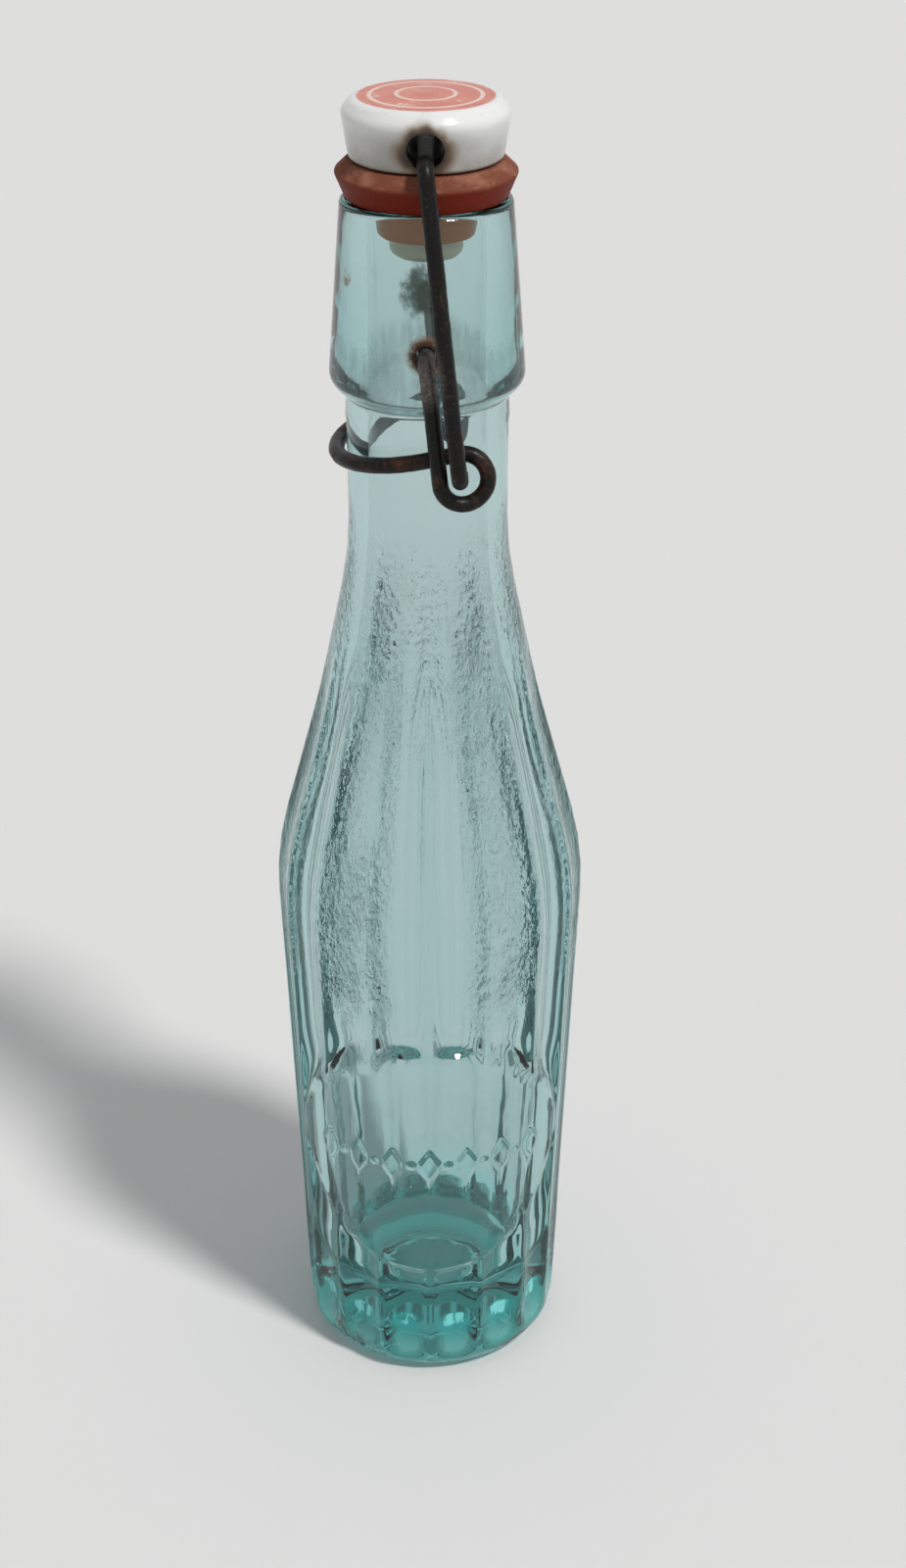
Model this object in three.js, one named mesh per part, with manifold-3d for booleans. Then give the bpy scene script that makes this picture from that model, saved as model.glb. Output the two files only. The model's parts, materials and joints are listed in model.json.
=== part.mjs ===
import * as THREE from 'three';
import { mergeVertices } from 'three/addons/utils/BufferGeometryUtils.js';
import Module from 'manifold-3d';

// Swing-top soda bottle: fluted pressure glass, porcelain stopper with a rubber gasket,
// and two iron wires, a stopper bail and a lever, that clamp the stopper over centre.
// Millimetres, +Z up, origin at the middle of the base, front plaque facing -Y.

// Glass, outside
const BODY_LOW_R = 26.3; // wall radius at the foot
const HEEL_ROUND = 8.6; // round between the base and the wall
const SHOULDER_R = 31.0; // where the tapered wall meets the shoulder
const SHOULDER_Z = 114.0;
const SHOULDER_ROUND = 62;
const SLOPE_R = 21.1; // middle of the hollow slope up to the neck
const SLOPE_RISE = 36.5; // shoulder to the middle of the slope
const SLOPE_ROUND = 150;
const NECK_RISE = 29.0; // middle of the slope to the straight neck
const NECK_ROUND = 70;
const NECK_L = 30.9; // straight neck below the thick collar at the mouth
const COLLAR_H = 35.9;
const COLLAR_OUT = 3.1; // collar beyond the neck
const COLLAR_UNDERCUT = 2.6; // height of the collar's sloping underside
const COLLAR_ROUND = 3.6;
const COLLAR_FOOT_ROUND = 0.65;
const LIP_ROUND = 1.6;

// Glass, inside
const WALL = 4.2; // body and slope
const BORE_R = 11.0; // mouth and neck
const NECK_WALL = 4.0;
const LIP_WALL = 4.5;
const MOUTH_ROUND = 0.9;
const FLOOR_Z = 16.5; // inside floor above the table
const FLOOR_ROUND = 8.6;
const PUSH_UP = 3.2; // hollow under the base
const PUSH_UP_R = 14.0;
const PUSH_UP_FLAT_R = 10.0;

// Flutes and plaque
const FLUTES = 16;
const FLUTE_DEPTH = 1.15;
const FLUTE_FOOT_Z = 7.0; // lower flute ends
const FLUTE_FOOT_RUN = 6.0;
const FLUTE_HEAD_GAP = 13.5; // flutes fade out this far below the straight neck
const FLUTE_HEAD_RUN = 30;
const PLAQUE_Z = 56;
const PLAQUE_HALF_H = 27;
const PLAQUE_HALF_ANGLE = 63; // degrees either side of the front
const PLAQUE_EDGE = 0.13; // share of the plaque over which the flutes sink in

// Wires
const WIRE_D = 3.0;
const HINGE_RISE = 11.9; // lever hinge above the collar's underside
const DIMPLE_DEPTH = 4.2;
const EYE_R = 4.3; // centre line of the lever's eye loop
const EYE_X = 6.7;
const EYE_DROP = 22.4; // eye below the hinge
const HOOK_SEAT = 45; // degrees left of the eye's top where the bail's hook bears
const LEVER_DROP = 12; // degrees that the thumb loop slopes down to the left
const HINGE_BEND = 2.4;
const HOOK_BEND = 2.6;
const BAIL_BEND = 3.0;
const KNEE_ABOVE_HINGE = 6.5; // where the bail starts to draw in
const KNEE_ROUND = 12;

// Stopper and gasket
const STOPPER_R = 15.1;
const STOPPER_FOOT_R = 13.7;
const STOPPER_TOP_R = 13.2;
const STOPPER_RIM = 8.2; // foot to widest rim
const STOPPER_H = 10.5; // foot to the edge of the top
const STOPPER_DOME = 0.5;
const STOPPER_ROUND = 2.2;
const CROSS_BORE_R = 3.3;
const CROSS_BORE_FLOOR = 0.9; // porcelain under the cross bore
const STEM_R = 5.4;
const TIP_OUT = 1.3; // retaining tip beyond the stem
const TIP_H = 3.8;
const TIP_ROUND = 1.8;
const GASKET_R = 16.4;
const GASKET_FOOT_R = 14.5;
const GASKET_TOP_R = 14.2;
const GASKET_H = 6.1;
const GASKET_RIDGE = 4.1; // seat to the ridge
const GASKET_ROUND = 0.8;
const SPIGOT_TAPER = 1.6;
const SPIGOT_L = 7.0;

// Clearances
const FIT_GAP = 0.3; // pieces that touch
const TURN_GAP = 0.4; // wire beside wire, and wire round the neck
const SIDE_GAP = 0.6; // bail beside the gasket
const SEAL_SPARE = 0.1; // left under the gasket when the lever passes dead centre
const SPIGOT_PLAY = 1.6; // gasket spigot in the mouth
const HOOK_END_GAP = 2.4; // bail end beside the neck

// Facets
const AROUND = 64; // glass, four facets to a flute
const AROUND_STOPPER = 40;
const ROW_STEP = 7.0;
const ARC_STEP = THREE.MathUtils.degToRad(30);
const WIRE_SIDES = 10;
const BORE_SIDES = 24;
const WIRE_STEP = THREE.MathUtils.degToRad(20);

const rad = THREE.MathUtils.degToRad;
const V2 = (r, z) => new THREE.Vector2(r, z);
const V3 = (x, y, z) => new THREE.Vector3(x, y, z);

// Line through corners, each rounded by an arc that its two sides leave room for.
function rounded(corners, step) {
  const line = [corners[0].at.clone()];
  for (let i = 1; i < corners.length - 1; i += 1) {
    const { at, round } = corners[i];
    const back = corners[i - 1].at.clone().sub(at);
    const ahead = corners[i + 1].at.clone().sub(at);
    const room = 0.48 * Math.min(back.length(), ahead.length());
    back.normalize();
    ahead.normalize();
    const half = Math.acos(THREE.MathUtils.clamp(back.dot(ahead), -1, 1)) / 2;
    if (!round || half > Math.PI / 2 - 1e-4) {
      line.push(at.clone());
      continue;
    }
    const reach = Math.min(round / Math.tan(half), room);
    const radius = reach * Math.tan(half);
    const middle = back.clone().add(ahead).normalize().multiplyScalar(radius / Math.sin(half)).add(at);
    const from = back.multiplyScalar(reach).add(at).sub(middle);
    const to = ahead.multiplyScalar(reach).add(at).sub(middle);
    const sweep = Math.PI - 2 * half;
    const parts = Math.max(2, Math.ceil(sweep / step));
    for (let k = 0; k <= parts; k += 1) {
      const a = (sweep * k) / parts;
      const point = from.clone().multiplyScalar(Math.sin(sweep - a) / Math.sin(sweep));
      line.push(point.addScaledVector(to, Math.sin(a) / Math.sin(sweep)).add(middle));
    }
  }
  line.push(corners[corners.length - 1].at.clone());
  return line;
}

const corner = (at, round = 0) => ({ at, round });

// Split long sides of a profile into even rows.
function inRows(line, step) {
  const rows = [line[0]];
  for (let i = 1; i < line.length; i += 1) {
    const parts = Math.max(1, Math.round(line[i].distanceTo(line[i - 1]) / step));
    for (let k = 1; k <= parts; k += 1) {
      rows.push(line[i - 1].clone().lerp(line[i], k / parts));
    }
  }
  return rows;
}

// One clean closed shell: shared corners merged and empty triangles dropped.
function shell(geometry) {
  geometry.deleteAttribute('normal');
  geometry.deleteAttribute('uv');
  const merged = mergeVertices(geometry, 1e-4);
  const kept = [];
  const index = merged.index.array;
  for (let i = 0; i < index.length; i += 3) {
    const [a, b, c] = [index[i], index[i + 1], index[i + 2]];
    if (a !== b && b !== c && c !== a) {
      kept.push(a, b, c);
    }
  }
  merged.setIndex(kept);
  return merged;
}

// Turned shape about +Z, starting at the front.
function turned(profile, around) {
  return new THREE.LatheGeometry(profile, around).rotateX(Math.PI / 2);
}

const wasm = await Module();
wasm.setup();

function asSolid(geometry) {
  return new wasm.Manifold(new wasm.Mesh({
    numProp: 3,
    vertProperties: new Float32Array(geometry.attributes.position.array),
    triVerts: new Uint32Array(geometry.index.array),
  }));
}

function asGeometry(solid) {
  const mesh = solid.getMesh();
  const geometry = new THREE.BufferGeometry();
  geometry.setAttribute('position', new THREE.Float32BufferAttribute(mesh.vertProperties, 3));
  geometry.setIndex(Array.from(mesh.triVerts));
  return geometry;
}

function crossPin(radius, fromY, toY, z) {
  const pin = new THREE.CylinderGeometry(radius, radius, Math.abs(toY - fromY), BORE_SIDES);
  pin.translate(0, (fromY + toY) / 2, z);
  return shell(pin);
}

// Path given as points, so that bends get close steps and straight runs get long ones.
class WirePath extends THREE.Curve {
  constructor(points) {
    super();
    this.points = points;
  }

  getUtoTmapping(u) {
    return u;
  }

  getPoint(t, target = V3(0, 0, 0)) {
    const s = t * (this.points.length - 1);
    const i = Math.min(Math.floor(s), this.points.length - 2);
    return target.lerpVectors(this.points[i], this.points[i + 1], s - i);
  }

  getTangent(t, target = V3(0, 0, 0)) {
    const last = this.points.length - 1;
    const i = Math.round(t * last);
    const here = this.points[i];
    target.set(0, 0, 0);
    if (i > 0) {
      target.add(here.clone().sub(this.points[i - 1]).normalize());
    }
    if (i < last) {
      target.add(this.points[i + 1].clone().sub(here).normalize());
    }
    return target.normalize();
  }
}

function wire(points) {
  const section = new THREE.Shape().absarc(0, 0, WIRE_D / 2, 0, 2 * Math.PI);
  return shell(new THREE.ExtrudeGeometry(section, {
    steps: points.length - 1,
    curveSegments: WIRE_SIDES / 2,
    extrudePath: new WirePath(points),
    bevelEnabled: false,
  }));
}

const mirrored = (points) => points.map((p) => V3(p.x, -p.y, p.z)).reverse();

// Glass bottle
const wireR = WIRE_D / 2;
const neckR = BORE_R + NECK_WALL;
const collarOutR = neckR + COLLAR_OUT;
const slopeZ = SHOULDER_Z + SLOPE_RISE;
const neckZ = slopeZ + NECK_RISE;
const collarZ = neckZ + NECK_L;
const lipZ = collarZ + COLLAR_H;
const hingeZ = collarZ + HINGE_RISE;
const collarFoot = V2(collarOutR, collarZ + COLLAR_UNDERCUT);
const lipEdge = V2(BORE_R + LIP_WALL, lipZ);
const lipCrown = V2(BORE_R + LIP_WALL / 2, lipZ);
const outside = inRows(rounded([
  corner(V2(0, PUSH_UP)),
  corner(V2(PUSH_UP_FLAT_R, PUSH_UP), PUSH_UP),
  corner(V2(PUSH_UP_R, 0), 0),
  corner(V2(BODY_LOW_R, 0), HEEL_ROUND),
  corner(V2(SHOULDER_R, SHOULDER_Z), SHOULDER_ROUND),
  corner(V2(SLOPE_R, slopeZ), SLOPE_ROUND),
  corner(V2(neckR, neckZ), NECK_ROUND),
  corner(V2(neckR, collarZ), COLLAR_FOOT_ROUND),
  corner(collarFoot, COLLAR_ROUND),
  corner(lipEdge, LIP_ROUND),
  corner(lipCrown),
], ARC_STEP), ROW_STEP);
const inside = inRows(rounded([
  corner(lipCrown),
  corner(V2(BORE_R, lipZ), MOUTH_ROUND),
  corner(V2(BORE_R, neckZ), NECK_ROUND),
  corner(V2(SLOPE_R - WALL, slopeZ), SLOPE_ROUND),
  corner(V2(SHOULDER_R - WALL, SHOULDER_Z), SHOULDER_ROUND),
  corner(V2(BODY_LOW_R - WALL, FLOOR_Z), FLOOR_ROUND),
  corner(V2(0, FLOOR_Z)),
], ARC_STEP), ROW_STEP * 5);

// How far the outside sinks at an angle from the front: scallops that meet in ridges.
function fluteDepth(angle, z) {
  const pitch = (2 * Math.PI) / FLUTES;
  const across = (2 * (THREE.MathUtils.euclideanModulo(angle, pitch) - pitch / 2)) / pitch;
  const foot = THREE.MathUtils.smoothstep(z, FLUTE_FOOT_Z, FLUTE_FOOT_Z + FLUTE_FOOT_RUN);
  const headZ = neckZ - FLUTE_HEAD_GAP;
  const head = 1 - THREE.MathUtils.smoothstep(z, headZ - FLUTE_HEAD_RUN, headZ);
  const around = Math.atan2(Math.sin(angle), Math.cos(angle));
  const out = Math.hypot(around / rad(PLAQUE_HALF_ANGLE), (z - PLAQUE_Z) / PLAQUE_HALF_H);
  const plaque = THREE.MathUtils.smoothstep(out, 1, 1 + PLAQUE_EDGE);
  return FLUTE_DEPTH * (1 - across * across) * foot * head * plaque;
}

const blank = turned([...outside, ...inside.slice(1)], AROUND);
const rowCount = outside.length + inside.length - 1;
const spots = blank.attributes.position;
for (let i = 0; i < spots.count; i += 1) {
  const angle = (2 * Math.PI * Math.floor(i / rowCount)) / AROUND;
  const { x: r, y: z } = i % rowCount < outside.length ? outside[i % rowCount] : V2(0, 0);
  if (r > 0 && z > 0) {
    const shrink = 1 - fluteDepth(angle, z) / r;
    spots.setXY(i, spots.getX(i) * shrink, spots.getY(i) * shrink);
  }
}

// Blind dimples for the lever's ends, one each side of the collar
const collarSlope = (hingeZ - collarFoot.y) / (lipEdge.y - collarFoot.y);
const collarR = THREE.MathUtils.lerp(collarFoot.x, lipEdge.x, collarSlope);
const dimpleFloor = collarR - DIMPLE_DEPTH;
const dimpleR = wireR + FIT_GAP;
let glass = asSolid(shell(blank));
for (const side of [-1, 1]) {
  const dimple = crossPin(dimpleR, side * dimpleFloor, side * (collarOutR + WIRE_D), hingeZ);
  glass = glass.subtract(asSolid(dimple));
}

// Where the wires run
const strandY = neckR + TURN_GAP + wireR;
const legY = Math.max(strandY + WIRE_D + TURN_GAP, collarOutR + TURN_GAP + wireR);
const bailY = legY + WIRE_D + TURN_GAP;
const bailTopY = Math.max(GASKET_R, STOPPER_R) + SIDE_GAP + wireR;
const eye = V2(EYE_X, hingeZ - EYE_DROP);

// The bail's hook bears on the upper inside of the eye. The seat lies low enough that the gasket
// still clears the lip when hook, hinge and bar stand in one line.
const boreFloorRise = GASKET_H + FIT_GAP + CROSS_BORE_FLOOR;
const barRise = boreFloorRise + FIT_GAP + wireR;
const bearing = V2(-Math.sin(rad(HOOK_SEAT)), Math.cos(rad(HOOK_SEAT)));
const hook = eye.clone().addScaledVector(bearing, EYE_R - WIRE_D - FIT_GAP);
const crank = hook.distanceTo(V2(0, hingeZ));
const rod = hook.distanceTo(V2(0, lipZ + barRise));
const squeeze = lipZ + barRise - hingeZ + crank - rod;
const seatZ = lipZ + squeeze + SEAL_SPARE;
const barZ = seatZ + barRise;

// Lever: hinge end, leg, eye loop, then the thumb loop round the left of the neck
const toEye = eye.clone().sub(V2(0, hingeZ));
const lean = Math.atan2(toEye.x, -toEye.y) - Math.asin(EYE_R / toEye.length());
const loopFrom = Math.PI + lean;
const loopTo = 2 * Math.PI + Math.PI / 2 + rad(LEVER_DROP);
const leverFront = rounded([
  corner(V3(0, -(dimpleFloor + FIT_GAP), hingeZ)),
  corner(V3(0, -legY, hingeZ), HINGE_BEND),
  corner(V3(eye.x + EYE_R * Math.cos(loopFrom), -legY, eye.y + EYE_R * Math.sin(loopFrom))),
], WIRE_STEP);
const loopSteps = Math.ceil((loopTo - loopFrom) / WIRE_STEP);
for (let k = 1; k <= loopSteps; k += 1) {
  const a = THREE.MathUtils.lerp(loopFrom, loopTo, k / loopSteps);
  const y = THREE.MathUtils.lerp(legY, strandY, THREE.MathUtils.smoothstep(k / loopSteps, 0, 1));
  leverFront.push(V3(eye.x + EYE_R * Math.cos(a), -y, eye.y + EYE_R * Math.sin(a)));
}
const leave = leverFront[leverFront.length - 1];
const thumbZ = (x) => leave.z + (x - leave.x) * Math.tan(rad(LEVER_DROP));
const thumb = [];
const thumbSteps = Math.ceil(Math.PI / (WIRE_STEP / 2));
for (let k = 0; k <= thumbSteps; k += 1) {
  const a = (Math.PI * k) / thumbSteps;
  const x = -strandY * Math.sin(a);
  thumb.push(V3(x, -strandY * Math.cos(a), thumbZ(x)));
}

// Bail: hook through the eye, leg up past the collar, bar through the stopper
const kneeZ = hingeZ + KNEE_ABOVE_HINGE;
const kneeX = hook.x * ((barZ - kneeZ) / (barZ - hook.y));
const bailFront = rounded([
  corner(V3(hook.x, -(neckR + HOOK_END_GAP), hook.y)),
  corner(V3(hook.x, -bailY, hook.y), HOOK_BEND),
  corner(V3(kneeX, -bailY, kneeZ), KNEE_ROUND),
  corner(V3(0, -bailTopY, barZ), BAIL_BEND),
  corner(V3(0, 0, barZ)),
], WIRE_STEP);

// Stopper, with its stem and retaining tip below the gasket
const footZ = seatZ + GASKET_H + FIT_GAP;
const spigotZ = seatZ - SPIGOT_L;
const tipZ = spigotZ - FIT_GAP - TIP_H;
const tipR = STEM_R + TIP_OUT;
const boreZ = footZ + CROSS_BORE_FLOOR + CROSS_BORE_R;
const stopperBlank = asSolid(shell(turned(rounded([
  corner(V2(0, tipZ)),
  corner(V2(tipR, tipZ), TIP_ROUND),
  corner(V2(tipR, tipZ + TIP_H)),
  corner(V2(STEM_R, tipZ + TIP_H)),
  corner(V2(STEM_R, footZ)),
  corner(V2(STOPPER_FOOT_R, footZ), GASKET_ROUND),
  corner(V2(STOPPER_R, footZ + STOPPER_RIM), STOPPER_ROUND),
  corner(V2(STOPPER_TOP_R, footZ + STOPPER_H), STOPPER_ROUND),
  corner(V2(0, footZ + STOPPER_H + STOPPER_DOME)),
], ARC_STEP), AROUND_STOPPER)));
const crossBore = asSolid(crossPin(CROSS_BORE_R, -2 * STOPPER_R, 2 * STOPPER_R, boreZ));

// Gasket: bevelled washer with a tapered spigot in the mouth
const holeR = STEM_R + FIT_GAP;
const spigotR = BORE_R - SPIGOT_PLAY;
const gasketLine = rounded([
  corner(V2(holeR, spigotZ)),
  corner(V2(spigotR - SPIGOT_TAPER, spigotZ), GASKET_ROUND),
  corner(V2(spigotR, seatZ)),
  corner(V2(GASKET_FOOT_R, seatZ), GASKET_ROUND),
  corner(V2(GASKET_R, seatZ + GASKET_RIDGE), GASKET_ROUND),
  corner(V2(GASKET_TOP_R, seatZ + GASKET_H), GASKET_ROUND),
  corner(V2(holeR, seatZ + GASKET_H)),
  corner(V2(holeR, spigotZ)),
], ARC_STEP);

function piece(name, geometry, color, roughness, metalness) {
  const mesh = new THREE.Mesh(geometry, new THREE.MeshStandardMaterial({ color, roughness, metalness }));
  mesh.name = name;
  return mesh;
}

const bottle = new THREE.Group();
bottle.add(
  piece('glass_bottle', asGeometry(glass), 0xa9d8cf, 0.08, 0),
  piece('porcelain_stopper', asGeometry(stopperBlank.subtract(crossBore)), 0xe9e6dc, 0.18, 0),
  piece('rubber_gasket', shell(turned(gasketLine, AROUND_STOPPER)), 0xb5573a, 0.75, 0),
  piece('stopper_bail', wire([...bailFront, ...mirrored(bailFront).slice(1)]), 0x33281f, 0.5, 0.8),
  piece('lever_bail', wire([...leverFront, ...thumb, ...mirrored(leverFront)]), 0x33281f, 0.5, 0.8),
);

export default bottle;
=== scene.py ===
import json
import math
from functools import partialmethod

import bpy
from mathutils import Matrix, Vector


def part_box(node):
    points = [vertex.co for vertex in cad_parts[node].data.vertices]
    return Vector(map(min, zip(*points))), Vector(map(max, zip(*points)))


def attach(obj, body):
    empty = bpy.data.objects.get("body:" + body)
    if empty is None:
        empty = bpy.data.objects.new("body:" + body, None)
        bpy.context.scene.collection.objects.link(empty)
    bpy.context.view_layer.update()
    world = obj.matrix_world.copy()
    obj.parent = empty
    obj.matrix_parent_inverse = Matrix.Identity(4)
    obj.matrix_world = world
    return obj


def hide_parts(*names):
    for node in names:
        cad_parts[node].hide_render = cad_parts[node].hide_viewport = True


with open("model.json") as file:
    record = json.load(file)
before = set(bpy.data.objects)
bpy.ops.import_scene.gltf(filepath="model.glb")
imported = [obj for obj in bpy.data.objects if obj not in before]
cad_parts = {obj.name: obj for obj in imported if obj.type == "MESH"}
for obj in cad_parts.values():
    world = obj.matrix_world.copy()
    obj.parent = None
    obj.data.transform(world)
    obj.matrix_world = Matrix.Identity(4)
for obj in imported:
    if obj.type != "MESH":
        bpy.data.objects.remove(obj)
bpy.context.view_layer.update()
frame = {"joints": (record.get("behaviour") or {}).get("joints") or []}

bl_info = {
    "name": "Swing-top bottle",
    "version": (1, 0, 0),
    "blender": (4, 5, 0),
    "location": "View3D > Sidebar > Bottle",
    "description": "Fluted aqua glass, porcelain, rubber and iron wire on the packed bottle",
    "category": "Add Mesh",
}

MM = 0.001
TAU = 2 * math.pi

# Places that the packed joints give
JOINTS = {joint["name"]: Vector(joint["pos_m"]) for joint in frame["joints"]}
HINGE = JOINTS["lever_swing"]
HOOK = JOINTS["bail_swing"]
BAR = JOINTS["stopper_tilt"]
LIP_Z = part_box("glass_bottle")[1].z
STOPPER_TOP_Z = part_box("porcelain_stopper")[1].z
TIP_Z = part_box("porcelain_stopper")[0].z
SPIGOT_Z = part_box("rubber_gasket")[0].z
GASKET_TOP_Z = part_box("rubber_gasket")[1].z

# Spacing of the rows along the glass, closer where the relief is fine
UNDERSIDE_ROW = 4.0 * MM
RELIEF_ROW = 0.32 * MM
POCKET_ROW = 0.55 * MM
HEEL_ROW = 0.9 * MM
WALL_ROW = 2.2 * MM
INSIDE_ROW = 5.0 * MM
HEEL_TOP_Z = 14.0 * MM
# How much closer the columns of the glass lie at the front
FRONT_CROWD = 0.42
# Facets round the stopper and the gasket, and a cutter that reaches through them
TURNED_COLUMNS = 128
CUTTER_LENGTH = 80.0 * MM
# Wire: sides, spacing of the rings, rounded end and hammered dents
WIRE_SIDES = 20
WIRE_ROW = 0.35 * MM
WIRE_END = 0.7 * MM
DENT_DEPTH = 0.22 * MM

# Places of the marks on the glass: angles from the front, heights and reaches
PEBBLE_TURN, PEBBLE_REACH = math.radians(31), math.radians(17)
BACK_FROM, BACK_FULL = math.radians(60), math.radians(100)
SPECK_TURN, SPECK_Z, SPECK_R = -1.02, 234.0 * MM, 2.3 * MM
FILM_TURN, FILM_Z, FILM_R = -0.10, 233.5 * MM, 5.4 * MM
COLLAR_SKIN_R = 16.5 * MM
FILM_SPAN = 19.5 * MM
WORN_TURN, WORN_REACH = math.radians(-40), math.radians(21)
# Heights over which the lit lower ends of the flutes begin and end
POCKET_BEGINS = 3.4 * MM, 7.4 * MM
POCKET_ENDS = 15.4 * MM, 16.8 * MM
# Rings on the stopper's disc: radius and half width
OUTER_RING = 9.9 * MM, 0.55 * MM
INNER_RING = 5.2 * MM, 0.5 * MM

# Stage: size of the floor, strength of the light and place of the camera
FLOOR_HALF = 6.0
SKY_STRENGTH = 0.52
SUN_STRENGTH = 2.2
SUN_WIDTH = math.radians(9.0)
SUN_AIM = Vector((-0.42, 0.40, -0.81))
CAMERA_PLACE = 0.0047, -0.4465, 0.3658
CAMERA_TILT = math.radians(62.0)
CAMERA_LENS, CAMERA_SENSOR = 39.0, 24.0


def length(name, description, millimetres):
    return bpy.props.FloatProperty(
        name=name, description=description, default=millimetres * MM,
        min=0.0, unit="LENGTH", precision=5,
    )


def colour(name, description, red, green, blue):
    return bpy.props.FloatVectorProperty(
        name=name, description=description, default=(red, green, blue),
        min=0.0, max=1.0, size=3, subtype="COLOR",
    )


def angle(name, description, degrees):
    return bpy.props.FloatProperty(
        name=name, description=description, default=math.radians(degrees), subtype="ANGLE",
    )


def count(name, description, value):
    return bpy.props.IntProperty(name=name, description=description, default=value, min=1)


class GlassSizes(bpy.types.PropertyGroup):
    """Sizes of the glass."""

    foot_r: length("Foot radius", "Wall radius at the table", 26.3)
    heel_round: length("Heel round", "Round between base and wall", 8.6)
    shoulder_r: length("Shoulder radius", "Where wall and shoulder meet", 31.0)
    shoulder_z: length("Shoulder height", "Height of the widest place", 114.0)
    shoulder_round: length("Shoulder round", "Round of the shoulder", 62.0)
    slope_r: length("Slope radius", "Middle of the hollow slope", 21.1)
    slope_z: length("Slope height", "Height of the middle of the slope", 150.5)
    slope_round: length("Slope round", "Round of the slope", 150.0)
    neck_r: length("Neck radius", "Straight neck", 15.0)
    neck_z: length("Neck height", "Where the straight neck begins", 179.5)
    neck_round: length("Neck round", "Round into the neck", 70.0)
    collar_r: length("Collar radius", "Widest place of the collar", 18.1)
    collar_z: length("Collar height", "Underside of the collar", 210.4)
    collar_undercut: length("Collar undercut", "Height of the sloping underside", 2.6)
    collar_round: length("Collar round", "Round of the collar's lower edge", 3.6)
    collar_foot_round: length("Collar foot round", "Round where collar meets neck", 1.8)
    lip_r: length("Lip radius", "Outside of the lip", 15.5)
    lip_round: length("Lip round", "Round of the lip", 1.6)
    wall: length("Wall", "Wall of body and slope", 6.0)
    bore_r: length("Bore radius", "Mouth and neck inside", 11.0)
    mouth_round: length("Mouth round", "Round of the mouth's edge", 0.9)
    floor_z: length("Floor height", "Inside floor above the table", 16.5)
    floor_round: length("Floor round", "Round of the inside floor", 7.0)
    push_up: length("Push-up", "Hollow under the base", 3.2)
    push_up_r: length("Push-up radius", "Edge of the hollow", 14.0)
    push_up_flat_r: length("Push-up flat", "Flat of the hollow", 10.0)
    flutes: count("Flutes", "Scallops round the body", 16)
    flute_depth: length("Flute depth", "How far a flute sinks", 1.25)
    flute_foot_z: length("Flute foot", "Lower ends of the flutes", 2.0)
    flute_foot_run: length("Flute foot run", "Length of the lower ends", 9.5)
    flute_head_z: length("Flute head", "Upper ends of the flutes", 166.0)
    flute_head_run: length("Flute head run", "Length over which they fade", 30.0)
    plaque_z: length("Plaque height", "Middle of the plain oval", 56.0)
    plaque_half_h: length("Plaque half height", "Half the oval's height", 27.0)
    plaque_half_angle: angle("Plaque half angle", "Half the oval's width round the body", 63.0)
    bead_relief: length("Bead relief", "How far the row of lozenges stands out", 0.45)
    lozenge_half_w: length("Lozenge half width", "Half a lozenge across", 2.7)
    lozenge_half_h: length("Lozenge half height", "Half a lozenge upwards", 4.3)
    bead_r: length("Bead radius", "Beads between the lozenges", 0.95)
    row_step: angle("Row step", "From a lozenge to the next bead", 7.6)
    row_half_angle: angle("Row half angle", "Where the row of lozenges ends", 49.0)
    line_relief: length("Line relief", "Raised line round the plaque", 0.2)
    pocket_depth: length("Pocket depth", "Flutes' ends at the plaque", 0.6)
    ring_relief: length("Ring relief", "Faint ring under the collar", 0.22)
    dimple_r: length("Dimple radius", "Blind holes for the lever's ends", 1.8)
    dimple_floor: length("Dimple floor", "Floor of the holes from the axis", 13.174)
    columns: count("Columns", "Facets round the glass", 336)


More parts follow.
